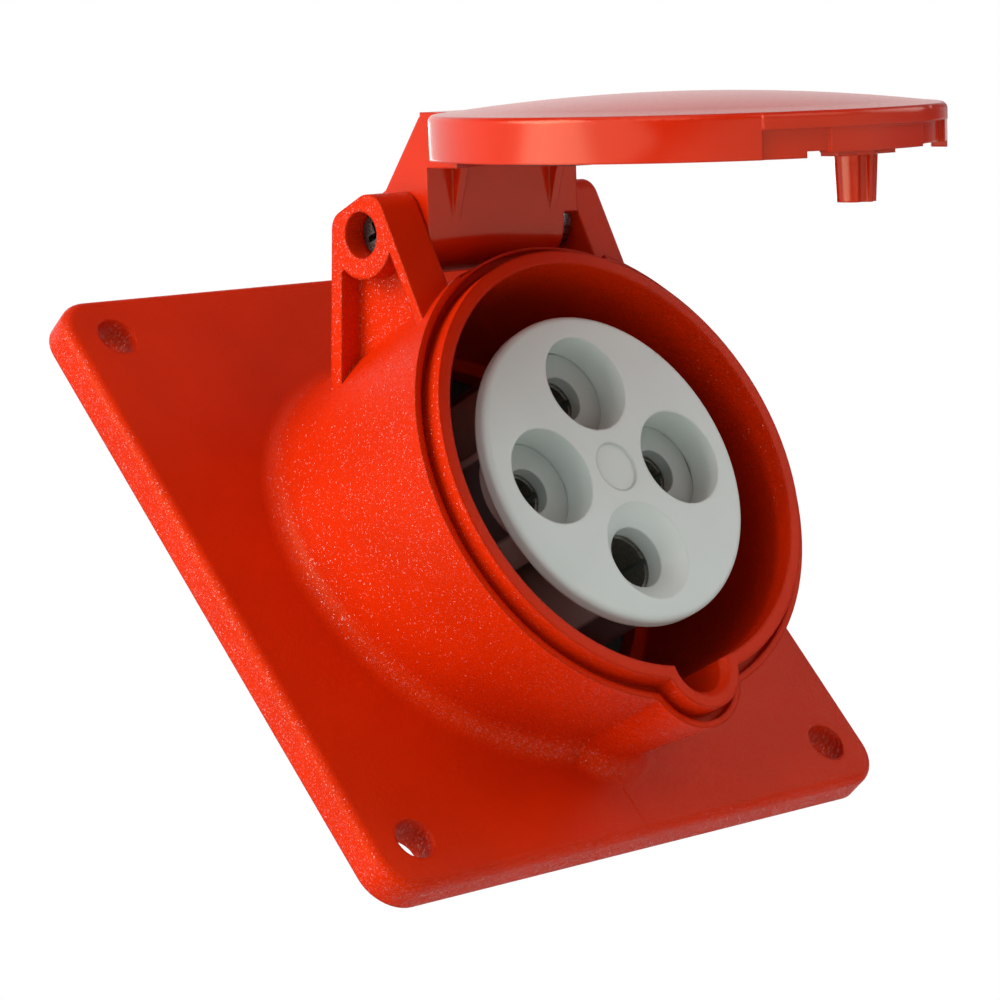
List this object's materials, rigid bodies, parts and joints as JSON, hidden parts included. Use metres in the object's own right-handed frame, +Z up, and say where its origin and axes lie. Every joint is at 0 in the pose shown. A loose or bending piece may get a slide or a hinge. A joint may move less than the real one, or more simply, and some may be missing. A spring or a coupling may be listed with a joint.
{
  "type": "industrial panel socket",
  "caption": "Angled panel-mounting power socket with a square flange, tilted round collar, sprung hinged lid and pin sleeves in a round insert.",
  "frame": {"origin": "centre of the flange's back face, midway between the four fixing holes", "axes": "+X to the right seen from the front, +Y back into the panel, +Z up; the collar leans forward and down"},
  "size_m": [0.0846, 0.1117, 0.0874],
  "materials": {
    "red_moulding": "spark-eroded satin",
    "red_lid": "semi-gloss",
    "seal_rubber": "matt",
    "dark_steel": "dark",
    "spring_steel": "bright",
    "grey_insert": "satin",
    "zinc_steel": "zinc plated",
    "brass": "turned"
  },
  "bodies": {
    "base": {"housing": "red_moulding", "hinge_screw": "dark_steel", "lid_spring": "spring_steel", "panel_gasket": "seal_rubber", "contact_insert": "grey_insert", "insert_base": "grey_insert", "terminal_carrier": "grey_insert", "terminal_screws": "zinc_steel", "carrier_screws": "zinc_steel", "pin_tower_l1": "grey_insert", "contact_l1": "brass", "sleeve_spring_l1": "spring_steel", "wire_clamp_l1": "zinc_steel", "pin_tower_l2": "grey_insert", "contact_l2": "brass", "sleeve_spring_l2": "spring_steel", "wire_clamp_l2": "zinc_steel", "pin_tower_l3": "grey_insert", "contact_l3": "brass", "sleeve_spring_l3": "spring_steel", "wire_clamp_l3": "zinc_steel", "pin_tower_earth": "grey_insert", "contact_earth": "brass", "sleeve_spring_earth": "spring_steel", "wire_clamp_earth": "zinc_steel"},
    "cover": {"lid": "red_lid", "lid_seal": "seal_rubber"}
  },
  "joints": [
    {"name": "lid_hinge", "type": "hinge", "parent": "base", "child": "cover", "pos_m": [0, -0.03238, 0.02792], "axis": [1, 0, 0], "range_deg": [-40, 63.05]}
  ]
}
